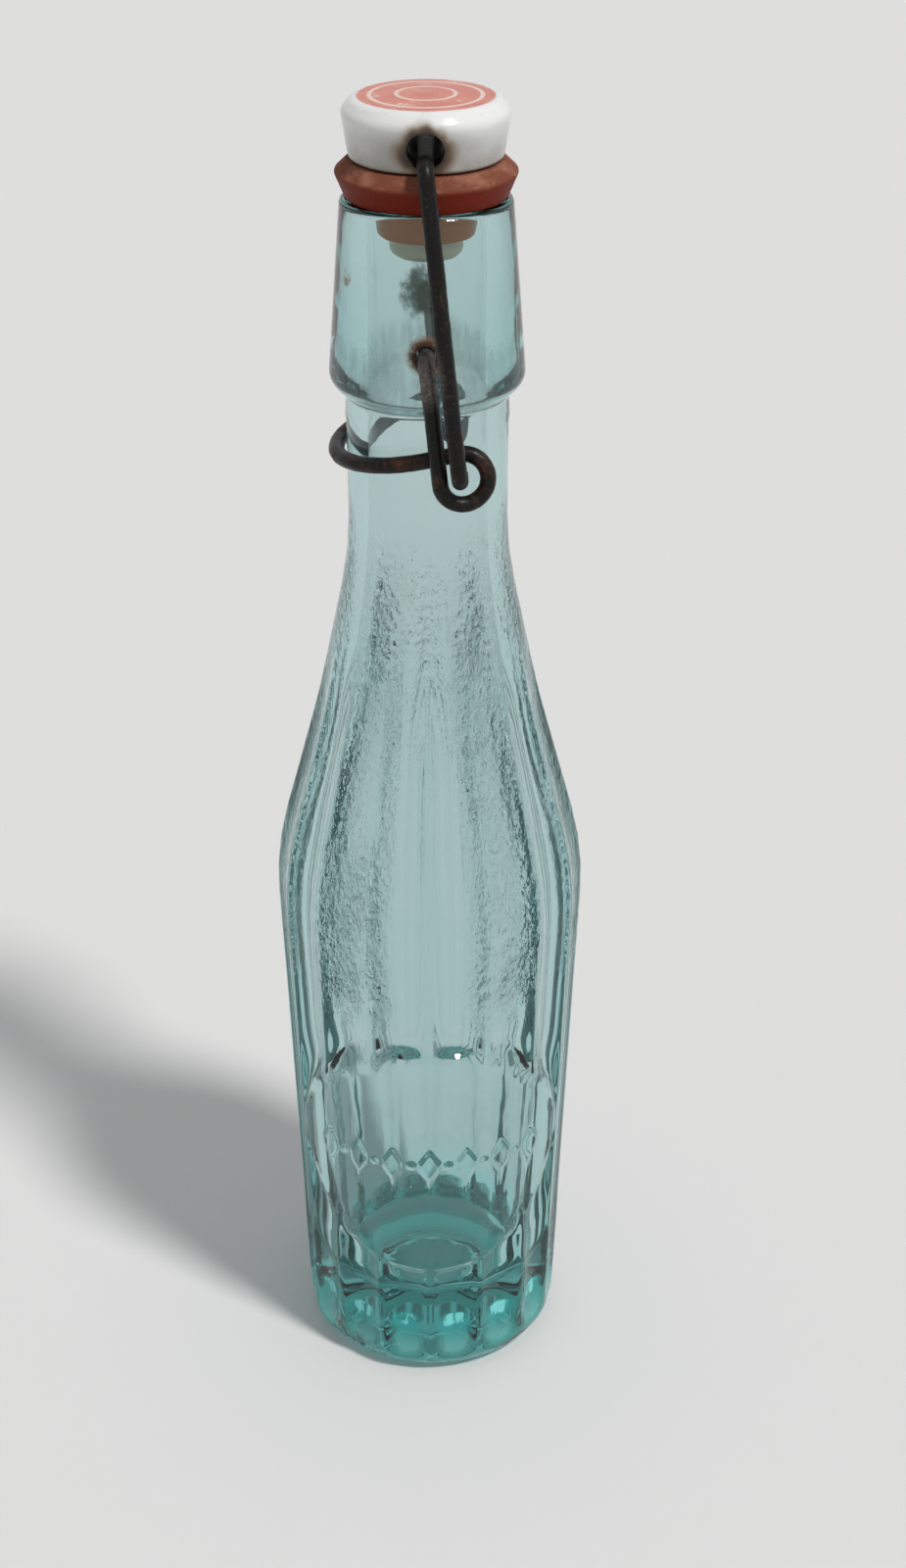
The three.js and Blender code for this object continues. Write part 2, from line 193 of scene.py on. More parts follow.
class ClosureSizes(bpy.types.PropertyGroup):
    """Sizes of stopper, gasket and wires."""

    wire_r: length("Wire radius", "Both wires", 1.5)
    eye_r: length("Eye radius", "Centre line of the lever's eye loop", 4.3)
    eye_x: length("Eye offset", "Eye to the right of the hinge", 6.7)
    eye_drop: length("Eye drop", "Eye below the hinge", 22.4)
    lever_drop: angle("Lever drop", "Slope of the thumb loop", 12.0)
    pin_tip_y: length("Pin tip", "Lever's ends in the dimples, from the axis", 13.474)
    strand_y: length("Strand", "Thumb loop beside the neck", 16.9)
    leg_y: length("Lever leg", "Lever's leg from the axis", 20.3)
    bail_y: length("Bail leg", "Bail's leg from the axis", 23.7)
    bail_top_y: length("Bail top", "Bail beside the stopper", 18.5)
    hook_end_y: length("Hook end", "Bail's end beside the neck", 17.4)
    hinge_bend: length("Hinge bend", "Bend at the lever's end", 2.4)
    hook_bend: length("Hook bend", "Bend at the bail's hook", 2.6)
    bail_bend: length("Bail bend", "Bend at the stopper", 3.0)
    knee_rise: length("Knee", "Where the bail draws in, above the hinge", 6.5)
    knee_round: length("Knee round", "Round of the knee", 12.0)
    stopper_r: length("Stopper radius", "Widest rim", 15.1)
    stopper_foot_r: length("Stopper foot", "Radius on the gasket", 13.7)
    stopper_top_r: length("Stopper top", "Radius of the top's edge", 13.2)
    stopper_rim: length("Stopper rim", "Foot to widest rim", 8.2)
    stopper_h: length("Stopper height", "Foot to the top's edge", 10.5)
    stopper_dome: length("Stopper dome", "Rise of the top", 0.5)
    stopper_round: length("Stopper round", "Round of the rim", 2.2)
    cross_bore_r: length("Cross bore", "Hole for the bail", 3.3)
    cross_bore_rise: length("Cross bore rise", "Hole above the foot", 4.2)
    stem_r: length("Stem", "Stem through the gasket", 5.4)
    tip_r: length("Tip", "Retaining tip", 6.7)
    tip_h: length("Tip height", "Retaining tip's height", 3.8)
    disc_r: length("Disc", "Coloured disc on the top", 12.3)
    gasket_r: length("Gasket radius", "Ridge of the gasket", 16.4)
    gasket_foot_r: length("Gasket foot", "Radius on the lip", 14.5)
    gasket_top_r: length("Gasket top", "Radius under the stopper", 14.2)
    gasket_ridge: length("Gasket ridge", "Lip to ridge", 4.6)
    spigot_r: length("Spigot", "Gasket in the mouth", 10.6)
    spigot_taper: length("Spigot taper", "How much it narrows", 1.7)


class Finishes(bpy.types.PropertyGroup):
    """Colours of the bottle and of its stage."""

    glass: colour("Glass", "Tint at the surface", 0.885, 0.91, 0.912)
    glass_heel: colour("Heel glass", "Tint at the surface of the heel", 0.55, 1.0, 0.985)
    # Painted glow and painted glints in the lower ends of the flutes
    glass_painted_glow: colour("Gleam", "Light gathered in the flutes' lower ends", 0.004, 0.33, 0.32)
    glass_painted_pale_glow: colour("Pale gleam", "Gathered light near the foot", 0.14, 0.44, 0.42)
    glass_painted_glint: colour("Glint", "Brightest of the gathered light", 0.26, 0.92, 0.90)
    glass_depth: colour("Glass depth", "Tint that thickness adds", 0.03, 0.60, 0.60)
    glass_density: bpy.props.FloatProperty(
        name="Glass density", description="Tint for each metre of glass",
        default=45.0, min=0.0,
    )
    porcelain: colour("Porcelain", "Glaze", 0.78, 0.78, 0.76)
    # Painted shade: a greyer copy of the glaze below the rim
    porcelain_painted_shade: colour("Dull porcelain", "Glaze below the rim", 0.57, 0.58, 0.575)
    # Grime, together with painted shade low on the stopper
    porcelain_grime_and_shade: colour("Porcelain grime", "Dirt low on the glaze", 0.26, 0.235, 0.19)
    bore_stain: colour("Bore stain", "Brown edge round the cross bore", 0.17, 0.105, 0.05)
    bore_soot: colour("Bore soot", "Black close to the cross bore", 0.018, 0.011, 0.007)
    disc: colour("Disc", "Worn coloured disc", 0.58, 0.12, 0.07)
    disc_worn: colour("Worn disc", "Disc where it is rubbed", 0.74, 0.36, 0.27)
    disc_bare: colour("Bare disc", "Rings and places rubbed through", 0.80, 0.66, 0.58)
    porcelain_tip: colour("Stained tip", "Porcelain in the mouth", 0.62, 0.50, 0.33)
    rubber: colour("Rubber", "Lower bevel", 0.15, 0.014, 0.004)
    rubber_worn: colour("Worn rubber", "Upper bevel", 0.20, 0.072, 0.042)
    rubber_dust: colour("Rubber dust", "Dry bloom on the upper bevel", 0.44, 0.20, 0.135)
    rubber_wet: colour("Spigot rubber", "Rubber in the mouth", 0.46, 0.115, 0.001)
    iron: colour("Iron", "Oxidised wire", 0.006, 0.0055, 0.005)
    iron_bright: colour("Rubbed iron", "Wire where it is rubbed", 0.034, 0.029, 0.025)
    # Bare iron with a painted highlight beside the dimples
    iron_bare_and_highlight: colour("Bare iron", "Wire beside the dimples", 0.17, 0.15, 0.135)
    rust: colour("Rust", "Rust on wire and glass", 0.10, 0.034, 0.013)
    rust_dark: colour("Dark rust", "Close to the wire", 0.022, 0.009, 0.005)
    scale: colour("Scale", "Dried inside the collar", 0.50, 0.54, 0.52)
    speck: colour("Speck", "Brown mark beside the lip", 0.30, 0.15, 0.05)
    film: colour("Film", "Dark film on the collar", 0.05, 0.072, 0.056)
    floor: colour("Floor", "Stage", 0.74, 0.73, 0.715)
    backdrop: colour("Backdrop", "Pale surroundings", 0.69, 0.69, 0.685)
    # Painted glow on the floor under the bottle
    through: colour("Light through", "On the floor under the bottle", 0.045, 0.155, 0.145)
    sky: colour("Sky", "Studio above", 0.90, 0.92, 0.95)
    horizon: colour("Horizon", "Studio round about", 0.40, 0.41, 0.42)


class Field:
    """An output socket in a node tree. Arithmetic on it adds Math nodes."""

    def __init__(self, tree, socket):
        self.tree, self.socket = tree, socket

    def math(self, operation, *others):
        """A Math node on this value and others."""
        values = dict(enumerate((self, *others)))
        return add(self.tree, "ShaderNodeMath", values, operation=operation)

    def reflected(self, operation, other):
        """A Math node with this value in second place."""
        return add(self.tree, "ShaderNodeMath", {0: other, 1: self}, operation=operation)

    __add__ = __radd__ = partialmethod(math, "ADD")
    __sub__ = partialmethod(math, "SUBTRACT")
    __rsub__ = partialmethod(reflected, "SUBTRACT")
    __mul__ = __rmul__ = partialmethod(math, "MULTIPLY")
    __truediv__ = partialmethod(math, "DIVIDE")
    __rtruediv__ = partialmethod(reflected, "DIVIDE")
    __pow__ = partialmethod(math, "POWER")
    __abs__ = partialmethod(math, "ABSOLUTE")
    least = partialmethod(math, "MINIMUM")
    most = partialmethod(math, "MAXIMUM")

    def smooth(self, low, high):
        """0 below low, 1 above high, and an even step between."""
        return add(
            self.tree, "ShaderNodeMapRange",
            {"Value": self, "From Min": low, "From Max": high, "To Min": 0.0, "To Max": 1.0},
            interpolation_type="SMOOTHSTEP",
        )

    def hill(self, middle, half):
        """1 at middle, and 0 from half a width away."""
        away = (self - middle) / half
        return (1 - away * away).most(0.0)

    def between(self, first, second):
        """A colour from first to second by this share."""
        def shade(c):
            return c if isinstance(c, Field) else (*c, 1.0)
        return add(
            self.tree, "ShaderNodeMix",
            {"Factor_Float": self, "A_Color": shade(first), "B_Color": shade(second)},
            "Result_Color", data_type="RGBA",
        )

    def grain(self, scale, detail=2.0, rough=0.5, stretch=(1, 1, 1), shift=(0, 0, 0)):
        """Soft noise from 0 to 1 at this place, in grains of about 1 / scale metres."""
        place = self
        if (*stretch, *shift) != (1, 1, 1, 0, 0, 0):
            place = add(
                self.tree, "ShaderNodeVectorMath",
                {0: self, 1: stretch, 2: shift}, operation="MULTIPLY_ADD",
            )
        return add(
            self.tree, "ShaderNodeTexNoise",
            {"Vector": place, "Scale": scale, "Detail": detail, "Roughness": rough},
            noise_dimensions="3D",
        )

    def parts(self):
        """The three parts of this vector."""
        split = add(self.tree, "ShaderNodeSeparateXYZ", {0: self}).socket.node
        return [Field(self.tree, part) for part in split.outputs]

    def bumped(self, depth):
        """A normal from this height of 0 to 1, which stands depth metres out."""
        return add(
            self.tree, "ShaderNodeBump",
            {"Height": self, "Distance": depth, "Strength": 1.0}, "Normal",
        )


def add(tree, kind, inputs=None, output=0, **settings):
    """An output of a new node: settings come first, then its sockets' values or links."""
    node = tree.nodes.new(kind)
    for name, value in settings.items():
        setattr(node, name, value)
    for key, value in (inputs or {}).items():
        socket = node.inputs[key] if isinstance(key, int) else next(
            s for s in node.inputs if key in (s.identifier, s.name) and s.enabled
        )
        if isinstance(value, Field):
            tree.links.new(value.socket, socket)
        else:
            socket.default_value = value
    found = node.outputs[output] if isinstance(output, int) else next(
        s for s in node.outputs if output in (s.identifier, s.name)
    )
    return Field(tree, found)


def rooted(x, y):
    """Length of the vector with sides x and y."""
    return (x * x + y * y).math("SQRT")


# Lines and turned shapes

def rounded(corners, step):
    """A line through corners, each a point and a round that its sides leave room for."""
    line = [Vector(corners[0][0])]
    for before, (at, size), after in zip(corners, corners[1:], corners[2:]):
        at = Vector(at)
        back, ahead = Vector(before[0]) - at, Vector(after[0]) - at
        room = 0.48 * min(back.length, ahead.length)
        back.normalize()
        ahead.normalize()
        half = math.acos(max(-1.0, min(1.0, back.dot(ahead)))) / 2
        if not size or half > math.pi / 2 - 1e-4:
            line.append(at)
            continue
        reach = min(size / math.tan(half), room)
        radius = reach * math.tan(half)
        middle = at + (back + ahead).normalized() * (radius / math.sin(half))
        start, end = at + back * reach - middle, at + ahead * reach - middle
        sweep = math.pi - 2 * half
        parts = max(2, math.ceil(sweep / step))
        for k in range(parts + 1):
            a = sweep * k / parts
            line.append(
                middle + (start * math.sin(sweep - a) + end * math.sin(a)) / math.sin(sweep)
            )
    line.append(Vector(corners[-1][0]))
    return line


def in_rows(line, spacing):
    """The same line, its long sides cut to the spacing that each place asks for."""
    rows = [line[0]]
    for first, second in zip(line, line[1:]):
        side = (second - first).length
        if side < 1e-7:
            continue
        gone = spacing(first)
        while gone + 0.5 * spacing(first.lerp(second, gone / side)) < side:
            rows.append(first.lerp(second, gone / side))
            gone += spacing(rows[-1])
        rows.append(second)
    return rows


def line_mesh(name, points, outside=None):
    """Points joined in a line, with a mark on those of the outside."""
    mesh = bpy.data.meshes.new(name)
    sides = [(i, i + 1) for i in range(len(points) - 1)]
    mesh.from_pydata([tuple(point) for point in points], sides, [])
    if outside:
        mark = mesh.attributes.new("outside", "FLOAT", "POINT")
        mark.data.foreach_set("value", outside)
    return mesh


def new_tree(name, sizes):
    """A Geometry Nodes tree with a named input for each size."""
    tree = bpy.data.node_groups.new(name, "GeometryNodeTree")
    tree.is_modifier = True
    face = tree.interface
    face.new_socket("Line", in_out="INPUT", socket_type="NodeSocketGeometry")
    face.new_socket("Piece", in_out="OUTPUT", socket_type="NodeSocketGeometry")
    for size, value in sizes.items():
        kind = "NodeSocketInt" if isinstance(value, int) else "NodeSocketFloat"
        face.new_socket(size, in_out="INPUT", socket_type=kind)
    entry = tree.nodes.new("NodeGroupInput")
    fields = {s.name: Field(tree, s) for s in entry.outputs if s.name}
    return tree, fields


def end_tree(tree, geometry, material):
    """Realises the piece, gives it its material and joins it to the output."""
    whole = add(tree, "GeometryNodeRealizeInstances", {0: geometry})
    whole = add(tree, "GeometryNodeSetMaterial", {"Geometry": whole, "Material": material})
    leave = tree.nodes.new("NodeGroupOutput")
    tree.links.new(whole.socket, leave.inputs[0])


def built(name, mesh, tree, sizes, crease=40):
    """Runs a tree on a line once and keeps the result as a plain mesh."""
    piece = bpy.data.objects.new(name, mesh)
    bpy.context.scene.collection.objects.link(piece)
    modifier = piece.modifiers.new(tree.name, "NODES")
    modifier.node_group = tree
    for item in tree.interface.items_tree:
        if item.in_out == "INPUT" and item.name in sizes:
            modifier[item.identifier] = sizes[item.name]
    graph = bpy.context.evaluated_depsgraph_get()
    made = bpy.data.meshes.new_from_object(piece.evaluated_get(graph), depsgraph=graph)
    if not made.polygons:
        raise RuntimeError(f"{name}: the tree made no faces")
    piece.modifiers.clear()
    piece.data = made
    made.name = name
    made.shade_smooth()
    made.set_sharp_from_angle(angle=math.radians(crease))
    return piece


def turn(tree, line, columns, shape, crowd=0.0):
    """Turns a line about +Z. shape gives radius and height, crowd closer columns in front."""
    rows = add(
        tree, "GeometryNodeAttributeDomainSize", {0: line}, "Point Count", component="MESH",
    )
    grid = add(
        tree, "GeometryNodeMeshGrid", {"Vertices X": rows, "Vertices Y": columns + 1}, "Mesh",
    )
    index = add(tree, "GeometryNodeInputIndex")
    row = (index / (columns + 1)).math("FLOOR")
    even = ((index - row * (columns + 1)) / columns - 0.5) * TAU
    about = even - even.math("SINE") * crowd

    def sampled(kind, value):
        return add(
            tree, "GeometryNodeSampleIndex",
            {"Geometry": line, "Value": value, "Index": row},
            "Value", data_type=kind, domain="POINT",
        )

    position = add(tree, "GeometryNodeInputPosition")
    r, _, z = sampled("FLOAT_VECTOR", position).parts()
    mark = add(
        tree, "GeometryNodeInputNamedAttribute",
        {"Name": "outside"}, "Attribute", data_type="FLOAT",
    )
    outside = sampled("FLOAT", mark)
    sine, cosine = about.math("SINE"), about.math("COSINE")

    def placed(radius, height):
        return add(
            tree, "ShaderNodeCombineXYZ",
            {0: radius * sine, 1: radius * cosine * -1.0, 2: height},
        )

    r, z = shape(about, r, z, outside, placed(r, z))
    shell = add(tree, "GeometryNodeSetPosition", {"Geometry": grid, "Position": placed(r, z)})
    shell = add(tree, "GeometryNodeMergeByDistance", {"Geometry": shell, "Distance": 1e-6})
    return add(tree, "GeometryNodeFlipFaces", {"Mesh": shell})


def cross_pin(tree, radius, depth, middle_y, z):
    """A round cutter along Y."""
    pin = add(
        tree, "GeometryNodeMeshCylinder",
        {"Vertices": 48, "Side Segments": 1, "Radius": radius, "Depth": depth}, "Mesh",
    )
    middle = add(tree, "ShaderNodeCombineXYZ", {1: middle_y, 2: z})
    return add(
        tree, "GeometryNodeTransform",
        {"Geometry": pin, "Translation": middle, "Rotation": (math.pi / 2, 0.0, 0.0)},
    )


def cut(tree, solid, *cutters):
    """The solid less its cutters."""
    node = tree.nodes.new("GeometryNodeMeshBoolean")
    node.operation, node.solver = "DIFFERENCE", "MANIFOLD"
    tree.links.new(solid.socket, node.inputs["Mesh 1"])
    for cutter in cutters:
        tree.links.new(cutter.socket, node.inputs["Mesh 2"])
    return Field(tree, node.outputs["Mesh"])


# Materials

def new_material(name):
    """A material with an empty tree, its Object coordinates and its output node."""
    material = bpy.data.materials.new(name)
    material.use_nodes = True
    tree = material.node_tree
    tree.nodes.clear()
    place = add(tree, "ShaderNodeTexCoord", output="Object")
    return material, tree, place, tree.nodes.new("ShaderNodeOutputMaterial")


def principled(tree, values):
    """A Principled surface with these values."""
    return add(tree, "ShaderNodeBsdfPrincipled", values)


def mixed(tree, share, first, second):
    """Two surfaces, mixed by a share of the second."""
    return add(tree, "ShaderNodeMixShader", {0: share, 1: first, 2: second})


def glass_material(finish, size):
    """Aqua glass: pebbled flutes, turquoise heel and painted glow, rust, film, dried scale."""
    material, tree, place, leave = new_material("Aqua glass")
    x, y, z = place.parts()
    out = rooted(x, y)
    about = x.math("ARCTAN2", y * -1.0)
    side = abs(about)

    # Pebbled bands in the flutes, front and back, and a slow wave all over
    pebble = place.grain(960.0, 2.0, 0.55, (1.0, 1.0, 0.6))
    patches = place.grain(90.0, 2.0, 0.5, (1.0, 1.0, 0.35)).smooth(0.42, 0.62)
    front = side.hill(PEBBLE_TURN, PEBBLE_REACH)
    back = side.smooth(BACK_FROM, BACK_FULL)
    reach = z.smooth(84 * MM, 98 * MM) * (1 - z.smooth(160 * MM, 196 * MM))
    pebbled = front.most(back * 0.55) * (patches * 0.6 + 0.4) * reach
    wave = place.grain(160.0, 3.0, 0.5, (1.0, 1.0, 0.22))
    normal = (wave * 0.18 + pebble * pebbled * 2.8).bumped(0.45 * MM)

    # Rust round the dimples, a speck beside the lip and a film on the collar
    ragged = place.grain(900.0, 3.0, 0.6)
    from_pin = rooted(x, z - HINGE.z)
    ring = from_pin.hill(2.4 * MM, 2.1 * MM) * (0.2 + ragged)
    ring = ring.smooth(0.22, 0.75) * (1 - from_pin.smooth(2.3 * MM, 4.4 * MM) * 0.65)
    on_side = abs(y).smooth(12.5 * MM, 14.5 * MM)
    speck = rooted((about - SPECK_TURN) * COLLAR_SKIN_R, z - SPECK_Z).hill(0.0, SPECK_R)
    film = rooted((about - FILM_TURN) * FILM_SPAN, (z - FILM_Z) * 0.8).hill(0.0, FILM_R)
    torn = place.grain(480.0, 3.0, 0.6) * out.smooth(12.5 * MM, 13.5 * MM)
    patch = (speck * torn).smooth(0.22, 0.44) * 0.75
    heavy = (ring * on_side).most(patch)
    light = (film * (0.15 + ragged * 1.2)).smooth(0.30, 0.72) * 0.72
    tone = (light - heavy).smooth(-0.1, 0.3)
    rust = from_pin.smooth(1.9 * MM, 2.8 * MM).between(finish.rust_dark, finish.rust)
    rust = from_pin.smooth(2.5 * MM, 3.8 * MM).between(rust, finish.speck)
    marks = speck.smooth(0.0, 0.2).between(rust, finish.speck)

    # Dried scale inside the collar's foot
    runs = place.grain(420.0, 3.0, 0.6, (1.0, 1.0, 0.25))
    bore_skin = 1 - out.smooth(11.4 * MM, 12.4 * MM)
    scale = z.hill(size.collar_z + 4.5 * MM, 9.0 * MM) * bore_skin
    scale = (scale * (0.3 + runs)).smooth(0.35, 0.95) * 0.45
    stain = heavy.most(light).most(scale)
    soiled = tone.between(marks, finish.film)
    soiled = (scale - light - heavy).smooth(0.0, 0.08).between(soiled, finish.scale)

    # Deeper tint in the thick heel, with a clearer rim under it
    heel = (1 - z.smooth(10 * MM, 30 * MM)) * (0.35 + z.smooth(1 * MM, 5 * MM) * 0.65)
    tint = heel.between(finish.glass, finish.glass_heel)

    # Painted light: a glow and glints in the lower ends of the flutes, in place of the light
    # that the thick heel gathers
    across = abs((about / (TAU / size.flutes)).math("FRACT") * 2 - 1)
    pocket = (1 - (across / 0.88) ** 2.0).most(0.0) * out.smooth(20.5 * MM, 22.5 * MM)
    pocket = pocket * (z - across * across * 2.0 * MM).smooth(*POCKET_BEGINS)
    pocket = pocket * (1 - (z + across * across * 2.2 * MM).smooth(*POCKET_ENDS))
    streak = place.grain(620.0, 3.0, 0.6, (1.0, 1.0, 0.3))
    gleam = (pocket * (0.40 + streak * 0.8)).smooth(0.12, 0.66) * 0.66
    upper = z.smooth(6.0 * MM, 13.0 * MM)
    glint = (pocket * streak * z.smooth(9.5 * MM, 13.5 * MM)).smooth(0.36, 0.48)
    gathered = upper.between(finish.glass_painted_pale_glow, finish.glass_painted_glow)
    glass = principled(tree, {
        "Base Color": tint, "Roughness": 0.02, "IOR": 1.5,
        "Transmission Weight": 1.0, "Normal": normal,
    })
    dirt = principled(tree, {"Base Color": soiled, "Roughness": 0.85})
    # Painted highlight: bright glints over the painted glow
    shine = glint.between(gathered, finish.glass_painted_glint)
    lit = principled(tree, {"Base Color": shine, "Roughness": 0.2})
    surface = mixed(tree, gleam, glass, lit)
    surface = mixed(tree, stain, surface, dirt)
    depth = add(
        tree, "ShaderNodeVolumeAbsorption",
        {"Color": (*finish.glass_depth, 1.0), "Density": finish.glass_density},
    )
    tree.links.new(surface.socket, leave.inputs["Surface"])
    tree.links.new(depth.socket, leave.inputs["Volume"])
    return material


def porcelain_material(finish, size):
    """White glaze, painted shade below the rim, grime with painted shade low down, grime round
    the bore, a worn disc on the top.
    """
    material, tree, place, leave = new_material("Worn porcelain")
    x, y, z = place.parts()
    top = STOPPER_TOP_Z
    foot = top - size.stopper_h - size.stopper_dome
    bore_z = foot + size.cross_bore_rise
    out = rooted(x, y)

    cloud = place.grain(260.0, 4.0, 0.6)
    fine = place.grain(1400.0, 3.0, 0.6)
    # Darker towards the foot: grime together with painted shade on the down-facing side; grime
    # round the bore
    low = 1 - z.smooth(foot - 1.0 * MM, foot + 8.5 * MM)
    grime_and_shade = (low * (0.45 + cloud * 0.8)).smooth(0.12, 1.0) * 0.85
    from_bore = rooted(x, z - bore_z)
    smudge = 1 - rooted(x * 0.55, z - bore_z + 2.0 * MM).smooth(2.0 * MM, 8.0 * MM)
    smudge = smudge * abs(y).smooth(4 * MM, 10 * MM) * (0.35 + cloud * 0.8)
    grime_and_shade = grime_and_shade.most(smudge.least(0.9))
    smear = place.grain(210.0, 2.0, 0.5, (1.0, 1.0, 0.7))
    halo = 1 - (from_bore + (smear - 0.5) * 4.0 * MM).smooth(2.2 * MM, 6.8 * MM)
    halo = halo * abs(y).smooth(6 * MM, 10 * MM)
    speckle = (fine * cloud).smooth(0.36, 0.46) * 0.28
    # Painted shade: the glaze turns greyer below the rim
    painted_shade_below_rim = 1 - (z + (cloud - 0.5) * 1.5 * MM).smooth(foot + 4.5 * MM, foot + 9.0 * MM)
    body = painted_shade_below_rim.between(finish.porcelain, finish.porcelain_painted_shade)
    body = grime_and_shade.most(speckle).between(body, finish.porcelain_grime_and_shade)
    inside = 1 - z.smooth(LIP_Z - 3.0 * MM, LIP_Z - 1.0 * MM)
    body = (inside * (0.6 + cloud * 0.4)).between(body, finish.porcelain_tip)
    body = halo.smooth(0.0, 0.75).between(body, finish.bore_stain)
    body = halo.smooth(0.42, 0.95).between(body, finish.bore_soot)

    # Worn coloured disc on the top, with two plain pale rings
    edge = out + (fine - 0.5) * 0.5 * MM
    disc = 1 - edge.smooth(size.disc_r - 0.35 * MM, size.disc_r + 0.1 * MM)
    disc = disc * z.smooth(top - 1.6 * MM, top - 1.1 * MM)
    rings = out.hill(*OUTER_RING).most(out.hill(*INNER_RING)).smooth(0.15, 0.75)
    wear = place.grain(190.0, 4.0, 0.65, shift=(0.31, 0.17, 0.05))
    rubbed = (wear * 0.7 + fine * 0.4).smooth(0.44, 0.74)
    bare = (rubbed * (wear + 0.25)).smooth(0.66, 0.96)
    paint = (rubbed * 0.75).between(finish.disc, finish.disc_worn)
    paint = (rings * 0.8).most(bare * 0.75).between(paint, finish.disc_bare)
    shade = disc.between(body, paint)

    rough = 0.13 + grime_and_shade * 0.3 + halo * 0.45 + disc * (0.22 + rubbed * 0.2)
    relief = cloud * 0.4 + disc * (1 - bare) * 0.35 + halo * fine * 0.5
    glaze = principled(tree, {
        "Base Color": shade, "Roughness": rough, "IOR": 1.5, "Coat Weight": 0.25,
        "Coat Roughness": 0.06, "Normal": relief.bumped(0.12 * MM),
    })
    tree.links.new(glaze.socket, leave.inputs["Surface"])
    return material


def rubber_material(finish, size):
    """Red rubber, dusty on the upper bevel and amber in the mouth."""
    material, tree, place, leave = new_material("Perished rubber")
    z = place.parts()[2]
    ridge = LIP_Z + size.gasket_ridge
    cloud = place.grain(220.0, 4.0, 0.6)
    fine = place.grain(1500.0, 3.0, 0.65)
    upper = (z + (cloud - 0.5) * 0.9 * MM).smooth(ridge - 0.9 * MM, ridge + 0.3 * MM)
    worn = upper * (0.55 + cloud * 0.6)
    worn = worn.most((fine * cloud).smooth(0.30, 0.45) * 0.45)
    dusty = (upper * (cloud * 0.75 + fine * 0.25)).smooth(0.44, 0.66) * 0.5
    shade = worn.between(finish.rubber, finish.rubber_worn)
    shade = dusty.between(shade, finish.rubber_dust)
    inside = 1 - z.smooth(LIP_Z - 1.2 * MM, LIP_Z + 0.2 * MM)
    shade = inside.between(shade, finish.rubber_wet)
    relief = fine * 0.6 + cloud * 0.8
    rubber = principled(tree, {
        "Base Color": shade, "Roughness": 0.5 + worn * 0.3 - inside * 0.25,
        "Specular IOR Level": 0.09, "Normal": relief.bumped(0.22 * MM),
    })
    tree.links.new(rubber.socket, leave.inputs["Surface"])
    return material


def iron_material(finish):
    """Dark oxidised iron, rubbed bare beside the dimples, with a painted highlight there."""
    material, tree, place, leave = new_material("Oxidised iron wire")
    x, y, z = place.parts()
    travel = add(
        tree, "ShaderNodeAttribute",
        output="Fac", attribute_type="GEOMETRY", attribute_name="travel",
    )
    cloud = place.grain(210.0, 4.0, 0.6)
    pits = place.grain(1300.0, 4.0, 0.65)
    # Fine scratches run along the wire: noise drawn out by its travel
    drawn = add(
        tree, "ShaderNodeCombineXYZ", {0: x + y * 0.7, 1: z - x * 0.6, 2: travel * 0.08},
    )
    streaks = drawn.grain(1600.0, 2.0, 0.5)
    bright = ((streaks - 0.5) * 1.6 + cloud * 0.7).smooth(0.42, 0.75) * 0.65
    near_eye = 1 - z.smooth(HOOK.z + 1.5 * MM, HOOK.z + 8.0 * MM)
    rusty = (cloud * 0.75 + pits * 0.35 + near_eye * 0.08).smooth(0.60, 0.84)
    shade = bright.between(finish.iron, finish.iron_bright)
    # The lever's legs are rubbed bare beside the dimples, and a painted highlight runs down
    # from them
    from_pin = rooted(x - 0.4 * MM, (z - HINGE.z + 2.5 * MM) * 0.5)
    rubbed = (1 - from_pin.smooth(1.2 * MM, 3.6 * MM)) * (streaks * 1.4 - 0.1)
    shade = rubbed.between(shade, finish.iron_bare_and_highlight)
    shade = (rusty * 0.6).between(shade, finish.rust)
    rough = 0.29 + rusty * 0.36 + pits * 0.12 - bright * 0.08
    relief = pits * 0.65 + cloud * 0.5 + streaks * 0.15
    iron = principled(tree, {
        "Base Color": shade, "Metallic": 0.3 - rusty * 0.25, "Roughness": rough,
        "Specular IOR Level": 0.24, "Normal": relief.bumped(0.12 * MM),
    })
    tree.links.new(iron.socket, leave.inputs["Surface"])
    return material


# Pieces

def glass_outline(size):
    """The glass from the middle of its underside to the lip, and on to its inside floor."""
    crown = ((size.bore_r + size.lip_r) / 2, 0, LIP_Z)
    plaque_top = size.plaque_z + size.plaque_half_h
    plaque_foot = size.plaque_z - size.plaque_half_h

    def corners(*points):
        return [((r, 0, z), round_) for r, z, round_ in points]

    def outer_step(at):
        if at.x < size.push_up_r:
            return UNDERSIDE_ROW
        if abs(at.z - size.plaque_z) < 4.5 * MM:
            return RELIEF_ROW
        if abs(at.z - plaque_top - 1 * MM) < 3 * MM or abs(at.z - plaque_foot) < 3 * MM:
            return POCKET_ROW
        return HEEL_ROW if at.z < HEEL_TOP_Z else WALL_ROW

    outer = in_rows(rounded(corners(
        (0, size.push_up, 0),
        (size.push_up_flat_r, size.push_up, size.push_up),
        (size.push_up_r, 0, 1 * MM),
        (size.foot_r, 0, size.heel_round),
        (size.shoulder_r, size.shoulder_z, size.shoulder_round),
        (size.slope_r, size.slope_z, size.slope_round),
        (size.neck_r, size.neck_z, size.neck_round),
        (size.neck_r, size.collar_z, size.collar_foot_round),
        (size.collar_r, size.collar_z + size.collar_undercut, size.collar_round),
        (size.lip_r, LIP_Z, size.lip_round),
    ) + [(crown, 0)], math.radians(6)), outer_step)
    inner = in_rows(rounded([(crown, 0)] + corners(
        (size.bore_r, LIP_Z, size.mouth_round),
        (size.bore_r, size.neck_z, size.neck_round),
        (size.slope_r - size.wall, size.slope_z, size.slope_round),
        (size.shoulder_r - size.wall, size.shoulder_z, size.shoulder_round),
        (size.foot_r - size.wall, size.floor_z, size.floor_round),
        (0, size.floor_z, 0),
    ), math.radians(9)), lambda at: INSIDE_ROW)
    return outer, inner[1:]


